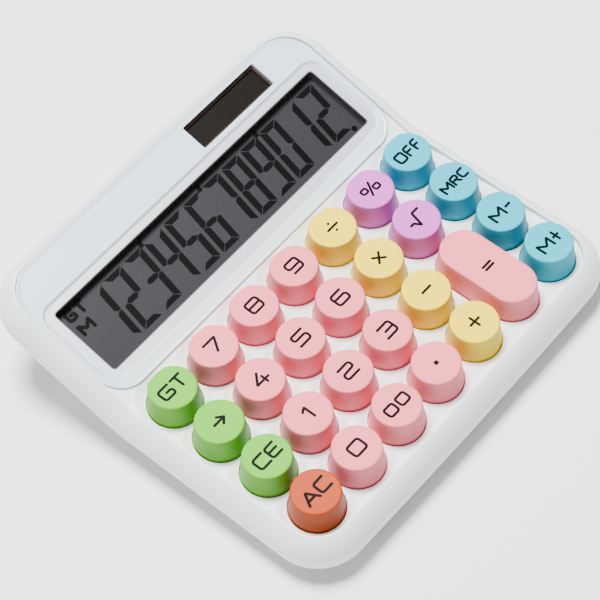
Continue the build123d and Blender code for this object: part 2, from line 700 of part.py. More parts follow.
def keyboard_ribbon():
    """Flat flexible lead between the undersides of the key board and the display board."""
    thickness = 0.3
    top = [
        point(DECK, -7, -KEY_BOARD_DEPTH - KEY_BOARD),
        point(DECK, -2, -KEY_BOARD_DEPTH - KEY_BOARD),
        point(MIDDLE, 1, -BOARD_DEPTH - BOARD - 1.8),
        point(DISPLAY, 6.5, -BOARD_DEPTH - BOARD),
        point(DISPLAY, 11, -BOARD_DEPTH - BOARD),
    ]
    bottom = [p - Vector(0, 0, thickness) for p in reversed(top)]
    ribbon = extrude(make_face(Polyline(top + bottom, close=True)), 11, dir=(1, 0, 0), both=True)
    return Pos(20, 0, 0) * ribbon


def rubber_feet():
    foot = Cylinder(FOOT_RADIUS - 0.02, BASE_BOTTOM + FOOT_RECESS, align=BOTTOM)
    foot = fillet(foot.edges().sort_by(Axis.Z)[0], 0.4)
    return Compound(children=[Pos(x, y, 0) * foot for x, y in feet_places()])


def all_parts():
    body = outer_body()
    layer = insert_layer()
    parts = {
        "top_frame": top_frame(body),
        "bottom_case": bottom_case(body),
        "keyboard_deck": keyboard_deck(layer),
        "display_panel": display_panel(layer),
        "lcd_lens": lcd_lens(),
        "lcd_holder": lcd_holder(),
        "lcd_glass": lcd_glass(),
        "zebra_connector": zebra_connector(),
        "display_board": display_board(),
        "display_board_screws": display_board_screws(),
        "controller_chip": controller_chip(),
        "capacitor": capacitor(),
        "solar_cover": solar_cover(),
        "solar_cell": solar_cell(),
        "solar_wires": solar_wires(),
        "key_board": key_board(),
        "key_board_screws": key_board_screws(),
        "dome_sheet": dome_sheet(),
        "keyboard_ribbon": keyboard_ribbon(),
        "battery_tray": battery_tray(),
        "battery_cell": battery_cell(),
        "spring_contact": spring_contact(),
        "plate_contact": plate_contact(),
        "battery_wires": battery_wires(),
        "battery_door": battery_door(),
        "case_screws": case_screws(),
        "rubber_feet": rubber_feet(),
    }
    for name, column, row, tall in KEYS:
        parts[name] = keycap(column, row, tall)
    return parts


os.makedirs("parts", exist_ok=True)
for node, shape in all_parts().items():
    export_step(shape, f"parts/{node}.step")
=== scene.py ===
import json
from math import acos, atan2, cos, hypot, inf, pi, radians, sin, sqrt, tan

import bpy
from mathutils import Matrix, Vector
from mathutils.geometry import delaunay_2d_cdt

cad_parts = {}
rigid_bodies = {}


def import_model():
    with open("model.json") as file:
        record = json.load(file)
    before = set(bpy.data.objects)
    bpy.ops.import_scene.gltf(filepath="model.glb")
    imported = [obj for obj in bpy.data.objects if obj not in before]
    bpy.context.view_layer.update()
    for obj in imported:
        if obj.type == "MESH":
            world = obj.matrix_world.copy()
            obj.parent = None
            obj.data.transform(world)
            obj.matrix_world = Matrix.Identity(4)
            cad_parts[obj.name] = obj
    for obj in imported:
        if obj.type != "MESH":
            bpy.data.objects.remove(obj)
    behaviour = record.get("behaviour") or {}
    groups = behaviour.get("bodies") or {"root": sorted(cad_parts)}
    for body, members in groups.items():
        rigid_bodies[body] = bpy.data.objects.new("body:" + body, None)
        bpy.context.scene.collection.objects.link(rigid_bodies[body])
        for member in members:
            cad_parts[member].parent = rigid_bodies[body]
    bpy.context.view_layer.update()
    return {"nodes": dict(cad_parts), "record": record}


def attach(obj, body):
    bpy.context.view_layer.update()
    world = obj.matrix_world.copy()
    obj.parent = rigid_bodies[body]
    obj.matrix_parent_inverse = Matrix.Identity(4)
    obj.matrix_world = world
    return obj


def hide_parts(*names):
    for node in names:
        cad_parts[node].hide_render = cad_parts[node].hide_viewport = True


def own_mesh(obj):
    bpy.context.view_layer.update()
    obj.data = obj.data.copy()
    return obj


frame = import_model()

# ------------------------------------------------------------------------------------
# Camera and lights. A long lens looks down from the front left, rolled a little. One broad soft
# light hangs above the rear, a weak cool one fills the left, and the sky is an even pale grey.
CAMERA_AT = Vector((-0.2825, -0.302891, 0.595085))
AIM = Vector((-0.00487, -0.00283, 0.018999))
ROLL = radians(-8.317)
LENS = 134.15
SENSOR = 36
SKY = (0.97, 0.98, 1.0, 1)
SKY_STRENGTH = 0.24

camera = bpy.data.objects.new("camera", bpy.data.cameras.new("camera"))
camera.data.lens = LENS
camera.data.sensor_width = SENSOR
ahead = (AIM - CAMERA_AT).normalized()
level = ahead.cross(Vector((0, 0, 1))).normalized()
right = level * cos(ROLL) + level.cross(ahead) * sin(ROLL)
turned = Matrix((right, right.cross(ahead), -ahead)).transposed().to_4x4()
camera.matrix_world = Matrix.Translation(CAMERA_AT) @ turned
bpy.context.scene.collection.objects.link(camera)
bpy.context.scene.camera = camera


def soft_light(name, spot, size, power, colour=(1, 1, 1)):
    lamp = bpy.data.lights.new(name, "AREA")
    lamp.shape = "DISK"
    lamp.size = size
    lamp.energy = power
    lamp.color = colour
    light = bpy.data.objects.new(name, lamp)
    light.location = spot
    light.rotation_euler = (Vector((0, 0, 0)) - Vector(spot)).to_track_quat("-Z", "Y").to_euler()
    bpy.context.scene.collection.objects.link(light)


soft_light("top_light", (0.1, 0.26, 1.28), 0.5, 56)
soft_light("left_light", (-1.1, -0.1, 0.5), 0.6, 5, (0.88, 0.95, 1.0))

world = bpy.data.worlds.new("studio")
world.use_nodes = True
sky = world.node_tree.nodes["Background"]
sky.inputs["Color"].default_value = SKY
sky.inputs["Strength"].default_value = SKY_STRENGTH
bpy.context.scene.world = world


# ------------------------------------------------------------------------------------
# Floor. A plain sheet of pale matt paper, just under the feet, larger than the view. Its finish,
# like every other, is built from shader nodes on Object coordinates, in metres.
MM = 0.001
REACH = 3.0
FLOOR_LEVEL = -0.0002
PAPER_DARK = (0.93, 0.93, 0.93, 1)
PAPER_LIGHT = (0.95, 0.95, 0.95, 1)


class Number:
    """A number that varies over a surface and can be reckoned with like a plain one."""

    def __init__(self, finish, socket):
        self.finish = finish
        self.socket = socket

    def reckon(self, operation, first, second):
        values = {0: first, 1: second}
        return self.finish.number("ShaderNodeMath", {"operation": operation}, values)

    def __add__(self, other):
        return self.reckon("ADD", self, other)

    __radd__ = __add__

    def __mul__(self, other):
        return self.reckon("MULTIPLY", self, other)

    __rmul__ = __mul__

    def __pow__(self, other):
        return self.reckon("POWER", self, other)

    def __rpow__(self, other):
        return self.reckon("POWER", other, self)


class Finish:
    """A material under construction: its shader and the nodes that vary it."""

    def __init__(self, name, **constants):
        self.material = bpy.data.materials.new(name)
        self.material.use_nodes = True
        self.tree = self.material.node_tree
        self.shader = self.tree.nodes["Principled BSDF"]
        for socket, value in constants.items():
            self.shader.inputs[socket.replace("_", " ")].default_value = value
        self.where = self.node("ShaderNodeTexCoord").outputs["Object"]

    def node(self, kind, settings=None, values=None):
        node = self.tree.nodes.new(kind)
        for key, setting in (settings or {}).items():
            setattr(node, key, setting)
        for key, value in (values or {}).items():
            if isinstance(value, Number):
                value = value.socket
            if isinstance(value, bpy.types.NodeSocket):
                self.tree.links.new(value, node.inputs[key])
            else:
                node.inputs[key].default_value = value
        return node

    def number(self, kind, settings, values, output=0):
        return Number(self, self.node(kind, settings, values).outputs[output])

    def noise(self, grain, detail=2.0):
        """Cloudy pattern of a grain size in millimetres, from 0 to 1."""
        values = {"Vector": self.where, "Scale": 1 / (grain * MM), "Detail": detail}
        return self.number("ShaderNodeTexNoise", {}, values, "Fac")

    def blend(self, amount, first, second):
        """Colour between two colours or colour sockets."""
        values = {0: amount, 6: first, 7: second}
        return self.node("ShaderNodeMix", {"data_type": "RGBA"}, values).outputs[2]

    def feed(self, socket, source):
        source = source.socket if isinstance(source, Number) else source
        self.tree.links.new(source, self.shader.inputs[socket])

    def relief(self, height, depth, under=None):
        """Bump of a depth in millimetres from a 0 to 1 height."""
        values = {"Height": height, "Distance": depth * MM, "Strength": 1.0}
        if under is not None:
            values["Normal"] = under
        return self.node("ShaderNodeBump", {}, values).outputs["Normal"]


floor_finish = Finish("floor_paper")
paper = floor_finish.noise(40, 2)
floor_finish.feed("Base Color", floor_finish.blend(paper, PAPER_DARK, PAPER_LIGHT))
floor_finish.feed("Roughness", paper * 0.05 + 0.75)
floor_mesh = bpy.data.meshes.new("floor")
corners = [(x * REACH, y * REACH, FLOOR_LEVEL) for x, y in ((-1, -1), (1, -1), (1, 1), (-1, 1))]
floor_mesh.from_pydata(corners, [], [(0, 1, 2, 3)])
floor_mesh.materials.append(floor_finish.material)
floor = bpy.data.objects.new("floor", floor_mesh)
bpy.context.scene.collection.objects.link(floor)


# ------------------------------------------------------------------------------------
# Top frame. White injection moulded ABS ring with a large half-round edge that follows the
# bend. It is swept here round the outline: round outside, a small lip inside, hollow below.
WIDTH = 148.2
DECK_LENGTH = 83.0
SLOPE_LENGTH = 58.4
CORNER = 16.5
BOW = 0.9
END_STEPS = 20
CORNER_STEPS = 18
SIDE_STEPS = 10
REAR_STEPS = 8
CREST = 1.9
UPPER_ROUND = 9.0
LOWER_ROUND = 5.9
BODY_DEPTH = 15.1
PARTING = -10.3
RIM_SIDE = 5.9
RIM_REAR = 3.5
SHELL = 2.6
LIP = 0.45
LIP_ROUND = [(0.45, 0.02), (0.12, 0.2), (0.0, 0.6)]
LIP_FOOT = -1.2
LEDGE_LEVEL = -2.1
LEDGE_LEAST = 0.3
UNDERCUT = 0.1
PARTING_WIDE = 0.25
PARTING_HIGH = 0.22
PARTING_OUT = 0.02
slots = {part["node"]: part["material_slot"] for part in frame["record"]["subparts"]}

# The whole calculator follows one surface: a keyboard deck that leans back a little, a gentle
# bend across the width, and a steeper display slope. Sizes are in millimetres along that
# surface, y up the slope from the bend line, n above it.
DECK_TILT = radians(3.0)
BEND_ANGLE = radians(17.1)
BEND_RADIUS = 16.0
BEND_LINE = Vector((0, 12.449, 19.8))
TANGENT = BEND_RADIUS * tan(BEND_ANGLE / 2)


def slope(tilt):
    """Directions up the slope and out of the surface at a lean."""
    return Vector((0, cos(tilt), sin(tilt))), Vector((0, -sin(tilt), cos(tilt)))


def place(x, y, n=0.0):
    """Point of the body in metres."""
    turn = min(max((y + TANGENT) / (2 * TANGENT), 0.0), 1.0)
    along, up = slope(DECK_TILT + turn * BEND_ANGLE)
    if 0 < turn < 1:
        deck_along, deck_up = slope(DECK_TILT)
        centre = BEND_LINE - deck_along * TANGENT + deck_up * BEND_RADIUS
        spot = centre - up * (BEND_RADIUS - n)
    else:
        spot = BEND_LINE + along * y + up * n
    return Vector((x, spot.y, spot.z)) * MM


def tint(red, green, blue, shade=1.0):
    """Linear colour of a display colour given from 0 to 255, lightened or darkened."""
    values = []
    for level in (red, green, blue):
        level = level / 255
        straight = level / 12.92 if level <= 0.04045 else ((level + 0.055) / 1.055) ** 2.4
        values.append(min(straight * shade, 1.0))
    return (*values, 1.0)


def moulded(name, colour, roughness, grain=0.22, depth=0.012, mottle=0.03, **constants):
    """Injection moulded plastic: spark-eroded grain and faint flow clouding."""
    finish = Finish(name, **constants)
    cloud = finish.noise(18, 3)
    speck = finish.noise(grain * 2.5, 2)
    light = tint(*colour, 1 + mottle)
    dark = tint(*colour, 1 - mottle)
    finish.feed("Base Color", finish.blend(cloud * 0.6 + speck * 0.4, dark, light))
    finish.feed("Roughness", speck * 0.12 + cloud * 0.06 + (roughness - 0.09))
    broad = finish.relief(finish.noise(3.5, 1), depth * 0.8)
    finish.feed("Normal", finish.relief(finish.noise(grain, 2), depth, broad))
    return finish.material


def arc(x, y, radius, start, end, steps):
    """Points of an arc between two directions in degrees, the last one left out."""
    turns = [radians(start + (end - start) * i / steps) for i in range(steps)]
    return [(x + radius * cos(turn), y + radius * sin(turn)) for turn in turns]


def run(start, end, steps):
    """Points of a straight run, the last one left out."""
    (ax, ay), (bx, by) = start, end
    shares = [i / steps for i in range(steps)]
    return [(ax + (bx - ax) * share, ay + (by - ay) * share) for share in shares]


def body_line(side, rear):
    """Outline of the body inset at the sides and front, and at the rear, counterclockwise."""
    half = WIDTH / 2 - side
    radius = CORNER - side
    rear_radius = CORNER - (side + rear) / 2
    low = -(DECK_LENGTH - side)
    high = SLOPE_LENGTH - rear
    rear_x, rear_y = half - rear_radius, high - rear_radius
    front_x, front_y = half - radius, low + radius
    line = run((-front_x, low), (front_x, low), END_STEPS)
    line += arc(front_x, front_y, radius, -90, 0, CORNER_STEPS)
    line += run((half, front_y), (half, -TANGENT), SIDE_STEPS)
    line += run((half, -TANGENT), (half, TANGENT), SIDE_STEPS)
    line += run((half, TANGENT), (half, rear_y), REAR_STEPS)
    line += arc(rear_x, rear_y, rear_radius, 0, 90, CORNER_STEPS)
    line += run((rear_x, high), (-rear_x, high), END_STEPS)
    line += arc(-rear_x, rear_y, rear_radius, 90, 180, CORNER_STEPS)
    line += run((-half, rear_y), (-half, TANGENT), REAR_STEPS)
    line += run((-half, TANGENT), (-half, -TANGENT), SIDE_STEPS)
    line += run((-half, -TANGENT), (-half, front_y), SIDE_STEPS)
    line += arc(-front_x, front_y, radius, 180, 270, CORNER_STEPS)
    bowed = []
    for x, y in line:
        swell = BOW * (1 - min(abs(x) / half, 1.0) ** 2)
        if y > rear_y:
            y += swell * min((y - rear_y) / rear_radius, 1.0)
        elif y < front_y:
            y -= swell * min((front_y - y) / radius, 1.0)
        bowed.append((x, y))
    return bowed


def make(name, points, faces, finishes, body="root", sharp=35, which=None):
    """Mesh piece at the origin with smooth faces and sharp creases, riding on a body."""
    mesh = bpy.data.meshes.new(name)
    mesh.from_pydata(points, [], faces)
    for finish in finishes:
        mesh.materials.append(finish)
    if which:
        mesh.polygons.foreach_set("material_index", which)
    mesh.polygons.foreach_set("use_smooth", [True] * len(mesh.polygons))
    mesh.set_sharp_from_angle(angle=radians(sharp))
    piece = bpy.data.objects.new(name, mesh)
    bpy.context.scene.collection.objects.link(piece)
    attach(piece, body)
    return piece


def sweep_ring(name, outer, inner, section, finishes, body="root", sharp=35):
    """Closed ring: each section point is a share of the way from outer to inner, and a height."""
    count = len(outer)
    points = []
    for i in range(count):
        for share, n in section(i):
            x = outer[i][0] + (inner[i][0] - outer[i][0]) * share
            y = outer[i][1] + (inner[i][1] - outer[i][1]) * share
            points.append(place(x, y, n))
    rows = len(points) // count
    faces = []
    for i in range(count):
        for j in range(rows):
            here, there = i * rows, (i + 1) % count * rows
            after = (j + 1) % rows
            faces.append((here + j, there + j, there + after, here + after))
    return make(name, points, faces, finishes, body, sharp)


outer_line = body_line(0, 0)
inner_line = body_line(RIM_SIDE, RIM_REAR)


def frame_section(i):
    """Section of the ring from its parting edge up over the round to the lip and back down."""
    reach = hypot(inner_line[i][0] - outer_line[i][0], inner_line[i][1] - outer_line[i][1])
    dip = -BODY_DEPTH + CREST + LOWER_ROUND
    top_turn = acos((UPPER_ROUND - reach + LIP) / UPPER_ROUND)
    low_turn = acos(max(0.0, 1 - (PARTING - dip) ** 2 / LOWER_ROUND ** 2) ** 0.5)
    low_steps, top_steps = 5, 18
    steps = []
    for k in range(low_steps):
        turn = low_turn * (1 - k / low_steps)
        steps.append((LOWER_ROUND * (1 - cos(turn)), dip - LOWER_ROUND * sin(turn)))
    for k in range(top_steps + 1):
        turn = top_turn * k / top_steps
        steps.append((UPPER_ROUND * (1 - cos(turn)), CREST - UPPER_ROUND * (1 - sin(turn))))
    top = steps[-1][1]
    steps += [(reach - LIP * across, top - LIP * down) for across, down in LIP_ROUND]
    steps += [(reach, LIP_FOOT), (reach, LEDGE_LEVEL)]
    wall = min(SHELL, reach - LEDGE_LEAST)
    steps += [(wall, LEDGE_LEVEL - UNDERCUT), (wall, PARTING + 0.15), (wall, PARTING)]
    steps += [(steps[0][0] + PARTING_WIDE, PARTING)]
    steps[0] = (steps[0][0] - PARTING_OUT, PARTING + PARTING_HIGH)
    return [(d / reach, n) for d, n in steps]


frame_white = moulded("frame_white", (234, 239, 241), 0.42, Coat_Weight=0.08, Coat_Roughness=0.35)
frame_piece = sweep_ring("frame_ring", outer_line, inner_line, frame_section, [frame_white], sharp=40)
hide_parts("top_frame")


# ------------------------------------------------------------------------------------
# Keyboard deck. White moulded plate let into the frame, with a shallow soft dish round
# every key and a hole that clears the cap. It is a heightfield given a thickness.
PITCH = 19.05
FIRST_ROW = 9.05
HOLE = 9.2
DISH = 12.4
DISH_DEPTH = 1.05
DECK_DROP = 0.45
PLATE = 2.2
DECK_SPACING = 0.8
COLUMNS = 7
WALL_GAP = 0.12
TOUCH = 0.01
HOLE_LINES = (0.15, 0.4)
LAYOUT = [
    ["gt", "7", "8", "9", "divide", "percent", "off"],
    ["backspace", "4", "5", "6", "multiply", "square_root", "memory_recall"],
    ["ce", "1", "2", "3", "minus", "equals", "memory_minus"],
    ["ac", "0", "00", "point", "plus", None, "memory_plus"],
]
keys = {}
for row, names in enumerate(LAYOUT):
    for column, name in enumerate(names):
        if name:
            tall = PITCH / 2 if name == "equals" else 0.0
            x = PITCH * (column - (COLUMNS - 1) / 2)
            keys[name] = (x, -FIRST_ROW - PITCH * row - tall, tall)


def smooth(value):
    value = min(max(value, 0.0), 1.0)
    return value * value * (3 - 2 * value)


def from_key(x, y, key):
    """Distance of a point from a key's centre, or from a tall key's centre line."""
    key_x, key_y, tall = key
    return hypot(x - key_x, max(abs(y - key_y) - tall, 0.0))


def key_loop(key, radius, steps=72):
    key_x, key_y, tall = key
    upper = arc(key_x, key_y + tall, radius, 0, 180, steps // 2)
    lower = arc(key_x, key_y - tall, radius, 180, 360, steps // 2)
    if tall:
        upper.append((key_x - radius, key_y + tall))
        lower.append((key_x + radius, key_y - tall))
    return upper + lower


def deck_height(x, y):
    """Level of the deck a little below the frame's lip, with a soft dish round each key."""
    near = min(from_key(x, y, key) for key in keys.values())
    return -DECK_DROP - DISH_DEPTH * (1 - smooth((near - HOLE) / (DISH - HOLE)))


def fill(outlines, holes=(), inner=(), ridges=()):
    """Flat triangles inside any outline and outside every hole, with edges along the ridges."""
    points, loops, lines = [], [], []
    for loop in [*outlines, *holes]:
        loops.append(list(range(len(points), len(points) + len(loop))))
        points += loop
    for ridge in ridges:
        first, size = len(points), len(ridge)
        lines += [(first + i, first + (i + 1) % size) for i in range(size)]
        points += ridge
    points += list(inner)
    found = delaunay_2d_cdt([Vector(p) for p in points], lines, loops, 1, 1e-5)
    flat, triangles, sources = found[0], found[2], found[5]
    kept = [t for t, s in zip(triangles, sources) if s and max(s) < len(outlines)]
    used = sorted({i for t in kept for i in t})
    fresh = {old: new for new, old in enumerate(used)}
    return [tuple(flat[i]) for i in used], [tuple(fresh[i] for i in t) for t in kept]


def slab(shape, top, bottom, at=place):
    """Closed solid between two heights over a flat shape, as points and faces."""
    flat, triangles = shape
    size = len(flat)
    points = [at(x, y, top(x, y)) for x, y in flat] + [at(x, y, bottom(x, y)) for x, y in flat]
    edges = {(t[i], t[(i + 1) % 3]) for t in triangles for i in range(3)}
    faces = list(triangles) + [(c + size, b + size, a + size) for a, b, c in triangles]
    faces += [(a, a + size, b + size, b) for a, b in edges if (b, a) not in edges]
    return points, faces


def inside_loop(x, y, loop):
    crossed = False
    for (ax, ay), (bx, by) in zip(loop, loop[1:] + loop[:1]):
        if (ay > y) != (by > y) and x < ax + (bx - ax) * (y - ay) / (by - ay):
            crossed = not crossed
    return crossed


PANEL_HALF = 68.05
PANEL_NEAR = 3.0
PANEL_CORNER = 10.0
PANEL_CORNER_STEPS = 16
PANEL_STEPS = 24
GAP = 0.18


def panel_line(grow):
    """Near edge of the display panel from right to left, with its round corners."""
    half, near, radius = PANEL_HALF + grow, PANEL_NEAR - grow, PANEL_CORNER + grow
    corner_x, corner_y = half - radius, near + radius
    line = arc(-corner_x, corner_y, radius, 180, 270, PANEL_CORNER_STEPS)
    line += run((-corner_x, near), (corner_x, near), PANEL_STEPS)
    return line + arc(corner_x, corner_y, radius, 270, 360, PANEL_CORNER_STEPS)


deck_half = WIDTH / 2 - RIM_SIDE - WALL_GAP
corner_reach = PANEL_CORNER + GAP
corner_at = PANEL_HALF - PANEL_CORNER
meet = PANEL_NEAR + PANEL_CORNER - sqrt(corner_reach ** 2 - (deck_half - corner_at) ** 2)
around = body_line(RIM_SIDE + WALL_GAP, RIM_REAR + WALL_GAP)
front_part = [p for p in around if p[1] <= TANGENT + TOUCH]
start = front_part.index(max((p for p in front_part if p[0] < 0), key=lambda p: p[1]))
near_edge = [p for p in panel_line(GAP) if abs(p[0]) < deck_half - 2 * TOUCH]
deck_outline = front_part[start:] + front_part[:start] + [(deck_half, meet)]
deck_outline += [*reversed(near_edge), (-deck_half, meet)]
hole_loops = [key_loop(key, HOLE) for key in keys.values()]
lip_loops = [p for key in keys.values() for r in HOLE_LINES for p in key_loop(key, HOLE + r)]
steps_x = int(2 * deck_half / DECK_SPACING)
steps_y = int((DECK_LENGTH + PANEL_NEAR) / DECK_SPACING)
grid = []
for i in range(steps_x):
    for j in range(steps_y):
        x = -deck_half + DECK_SPACING * (i + 0.5 + 0.5 * (j % 2))
        y = -DECK_LENGTH + DECK_SPACING * (j + 0.5)
        nearest = min(from_key(x, y, key) for key in keys.values())
        if nearest > HOLE + DECK_SPACING and inside_loop(x, y, deck_outline):
            grid.append((x, y))
deck_white = moulded("deck_white", (240, 240, 241), 0.38, Coat_Weight=0.1, Coat_Roughness=0.3)
deck_shape = fill([deck_outline], hole_loops, grid + lip_loops)
deck_piece = make("key_deck", *slab(deck_shape, deck_height, lambda x, y: -PLATE), [deck_white])
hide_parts("keyboard_deck")


# ------------------------------------------------------------------------------------
# Keys. Hollow tapered caps moulded in pastel ABS with a fine matt grain, a retaining
# flange below the deck and a stem on the rubber dome. The equals cap is two rows tall.
CAP_TOP = 7.75
CAP_BASE = 8.67
CAP_HEIGHT = 8.1
CAP_ROUND = 0.6
CAP_HOLLOW = 0.12
CAP_WALL = 1.37
CAP_RINGS = (1.5, 4.0, 6.5, CAP_HEIGHT - CAP_ROUND)
TOP_RINGS = (0.9, 0.75, 0.5, 0.25)
ROUND_STEPS = 6
# Share of the top's edge round that keeps the key's colour; below it the painted shade of the sides
# begins
TOP_COLOUR_SHARE = 0.7
SKIRT = -2.5
SKIRT_RING = -0.6
STEM = 2.2
STEM_FOOT = -3.75
ROOF = 6.4
FLANGE = 9.3
FLANGE_FOOT = -3.3
COLOURS = {
    "key_pink": (255, 124, 138),
    "key_green": (98, 186, 32),
    "key_orange": (176, 62, 0),
    "key_yellow": (253, 218, 18),
    "key_lilac": (206, 94, 198),
    "key_cyan": (0, 174, 198),
}
# Each key's sides take a darker, duller copy of its colour: painted shade on the sides and in the gap
# round the cap's foot
SIDE_PAINTED_SHADE = 0.95
SIDE_PAINTED_DULLING = 0.15
key_finishes = {}
for slot_name, colour in COLOURS.items():
    middle = sum(colour) / 3
    painted_shade_colour = [SIDE_PAINTED_SHADE * (level + (middle - level) * SIDE_PAINTED_DULLING) for level in colour]
    fine_grain = {"grain": 0.16, "depth": 0.008, "mottle": 0.02, "Specular_IOR_Level": 0.16}
    top_finish = moulded(slot_name, colour, 0.5, **fine_grain)
    key_finishes[slot_name] = [top_finish, moulded(slot_name + "_painted_shade", painted_shade_colour, 0.5, **fine_grain)]


def cap_section():
    """Outside and inside of a cap, as steps of distance from the axis, height, and 1 where a
    tall cap is drawn out or 0 where it isn't."""
    lean = (CAP_BASE - CAP_TOP) / CAP_HEIGHT
    steps = [(CAP_BASE, SKIRT, 1), (CAP_BASE, SKIRT_RING, 1), (CAP_BASE, 0.0, 1)]
    steps += [(CAP_BASE - lean * h, h, 1) for h in CAP_RINGS]
    edge = CAP_BASE - lean * (CAP_HEIGHT - CAP_ROUND) - CAP_ROUND
    for k in range(1, ROUND_STEPS + 1):
        turn = pi / 2 * k / ROUND_STEPS
        steps.append((edge + CAP_ROUND * cos(turn), CAP_HEIGHT - CAP_ROUND * (1 - sin(turn)), 1))
    steps += [(edge * f, CAP_HEIGHT - CAP_HOLLOW * (1 - f * f), 1) for f in TOP_RINGS]
    hollow = CAP_BASE - CAP_WALL
    inside = [(STEM, STEM_FOOT, 0), (STEM, ROOF, 0)]
    inside += [(hollow - 0.4, ROOF + 0.1, 1), (hollow, SKIRT - 0.1, 1), (hollow + 0.1, FLANGE_FOOT, 1)]
    return steps, inside + [(FLANGE, FLANGE_FOOT, 1), (FLANGE, SKIRT, 1)]


def cap_points(key, section, steps=80):
    """Rings of points round a key, one for each step of a section."""
    key_x, key_y, tall = key
    rings = []
    for radius, n, drawn in section:
        ring = []
        for k in range(steps):
            turn = 2 * pi * (k + 0.5) / steps
            shift = tall * drawn * (1 if sin(turn) > 0 else -1)
            ring.append(place(key_x + radius * cos(turn), key_y + shift + radius * sin(turn), n))
        rings.append(ring)
    return rings


def cap(name, key):
    """One closed cap, its top in the key's colour, its sides, skirt and inside in a darker, duller
    copy of it: painted shade.
    """
    outside, inside = cap_section()
    section = list(reversed(outside)) + list(reversed(inside))
    rings = cap_points(key, section)
    steps = len(rings[0])
    points = [p for ring in rings for p in ring]
    faces, which = [], []
    for r in range(len(rings) - 1):
        # Faces below the top take the darker copy, painted shade; the inner end does too
        side = 0 if section[r + 1][1] > CAP_HEIGHT - CAP_ROUND * TOP_COLOUR_SHARE else 1
        for k in range(steps):
            a, b = r * steps + k, r * steps + (k + 1) % steps
            faces.append((a, a + steps, b + steps, b))
            which.append(side)
    for first, reverse in ((0, False), ((len(rings) - 1) * steps, True)):
        half = steps // 2
        for k in range(half - 1):
            left, right_side = first + k, first + steps - 1 - k
            quad = (left, left + 1, right_side - 1, right_side)
            faces.append(tuple(reversed(quad)) if reverse else quad)
            which.append(1 if reverse else 0)
    node = "key_" + name
    finishes = key_finishes[slots[node]]
    piece = make(node + "_cap", points, faces, finishes, node, sharp=40, which=which)
    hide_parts(node)


for name, key in keys.items():
    cap(name, key)


# ------------------------------------------------------------------------------------
# Key legends. Pad-printed in near-black ink: wide, squarish technical strokes of one
# width, drawn here as round-ended strokes in a box one unit wide and high.
STROKE = 0.9
INK = 0.03
GLYPHS = {
    "0": [[(0.5, 1), (1, 1), (1, 0), (0, 0), (0, 1), (0.5, 1)]],
    "1": [[(0.28, 0.78), (0.62, 1), (0.62, 0)]],
    "2": [[(0, 1), (1, 1), (1, 0.52), (0, 0.48), (0, 0), (1, 0)]],
    "3": [[(0, 1), (1, 1), (1, 0), (0, 0)], [(0.28, 0.5), (1, 0.5)]],
    "4": [[(0.62, 1), (0, 0.28), (1, 0.28)], [(0.7, 0.6), (0.7, 0)]],
    "5": [[(1, 1), (0, 1), (0, 0.55), (1, 0.55), (1, 0), (0, 0)]],
    "6": [[(0.9, 1), (0, 1), (0, 0), (1, 0), (1, 0.56), (0, 0.56)]],
    "7": [[(0, 1), (1, 1), (0.4, 0)]],
    "8": [[(0.5, 1), (1, 1), (1, 0), (0, 0), (0, 1), (0.5, 1)], [(0, 0.52), (1, 0.52)]],
    "9": [[(1, 0.44), (0, 0.44), (0, 1), (1, 1), (1, 0), (0.1, 0)]],
    "G": [[(1, 1), (0, 1), (0, 0), (1, 0), (1, 0.5), (0.5, 0.5)]],
    "T": [[(0, 1), (1, 1)], [(0.5, 1), (0.5, 0)]],
    "C": [[(1, 1), (0, 1), (0, 0), (1, 0)]],
    "E": [[(1, 1), (0, 1), (0, 0), (1, 0)], [(0, 0.52), (0.9, 0.52)]],
    "A": [[(0, 0), (0.5, 1), (1, 0)], [(0.17, 0.32), (0.83, 0.32)]],
    "O": [[(0.5, 1), (1, 1), (1, 0), (0, 0), (0, 1), (0.5, 1)]],
    "F": [[(1, 1), (0, 1), (0, 0)], [(0, 0.5), (0.85, 0.5)]],
    "M": [[(0, 0), (0, 1), (0.5, 0.35), (1, 1), (1, 0)]],
    "R": [[(0, 0), (0, 1), (1, 1), (1, 0.48), (0, 0.48)], [(0.55, 0.48), (1, 0)]],
    "-": [[(0, 0.5), (1, 0.5)]],
    "+": [[(0, 0.5), (1, 0.5)], [(0.5, 0), (0.5, 1)]],
    "x": [[(0, 0), (1, 1)], [(0, 1), (1, 0)]],
    "=": [[(0, 0.78), (1, 0.78)], [(0, 0.22), (1, 0.22)]],
    ">": [[(0, 0.5), (1, 0.5)], [(0.58, 0.95), (1, 0.5), (0.58, 0.05)]],
    "v": [[(0, 0.42), (0.2, 0.42), (0.4, 0), (0.6, 1), (1, 1)]],
}
# Text, then each sign's width and the text's height, in millimetres, and the gap between signs
LEGENDS = {
    "gt": ("GT", (5.2, 4.7), 4.9, 0.5),
    "off": ("OFF", (4.1, 3.2, 3.0), 4.6, 0.35),
    "memory_recall": ("MRC", (4.6, 3.5, 3.3), 4.0, 0.2),
    "ce": ("CE", (5.0, 4.7), 5.1, 0.3),
    "ac": ("AC", (5.6, 4.9), 5.0, 0.3),
    "memory_minus": ("M-", (5.8, 2.8), 4.5, 0.7),
    "memory_plus": ("M+", (5.8, 3.0), 4.5, 0.6),
    "00": ("00", (4.7, 4.7), 4.3, 0.6),
    "0": ("0", (6.0,), 5.2, 0),
    "equals": ("=", (4.4,), 3.3, 0),
    "plus": ("+", (4.8,), 4.8, 0),
    "minus": ("-", (4.6,), 1.0, 0),
    "multiply": ("x", (3.9,), 3.9, 0),
    "backspace": (">", (5.2,), 4.4, 0),
    "square_root": ("v", (7.5,), 6.2, 0),
}
for digit in "123456789":
    LEGENDS[digit] = (digit, (5.8,), 5.4, 0)
ROUNDED = 1.05
SHARP_SIGNS = "M147xv>A"
SHARPNESS = 0.3
SOFTEST = 0.45
SOFT_STEPS = 5
STROKE_END_STEPS = 7
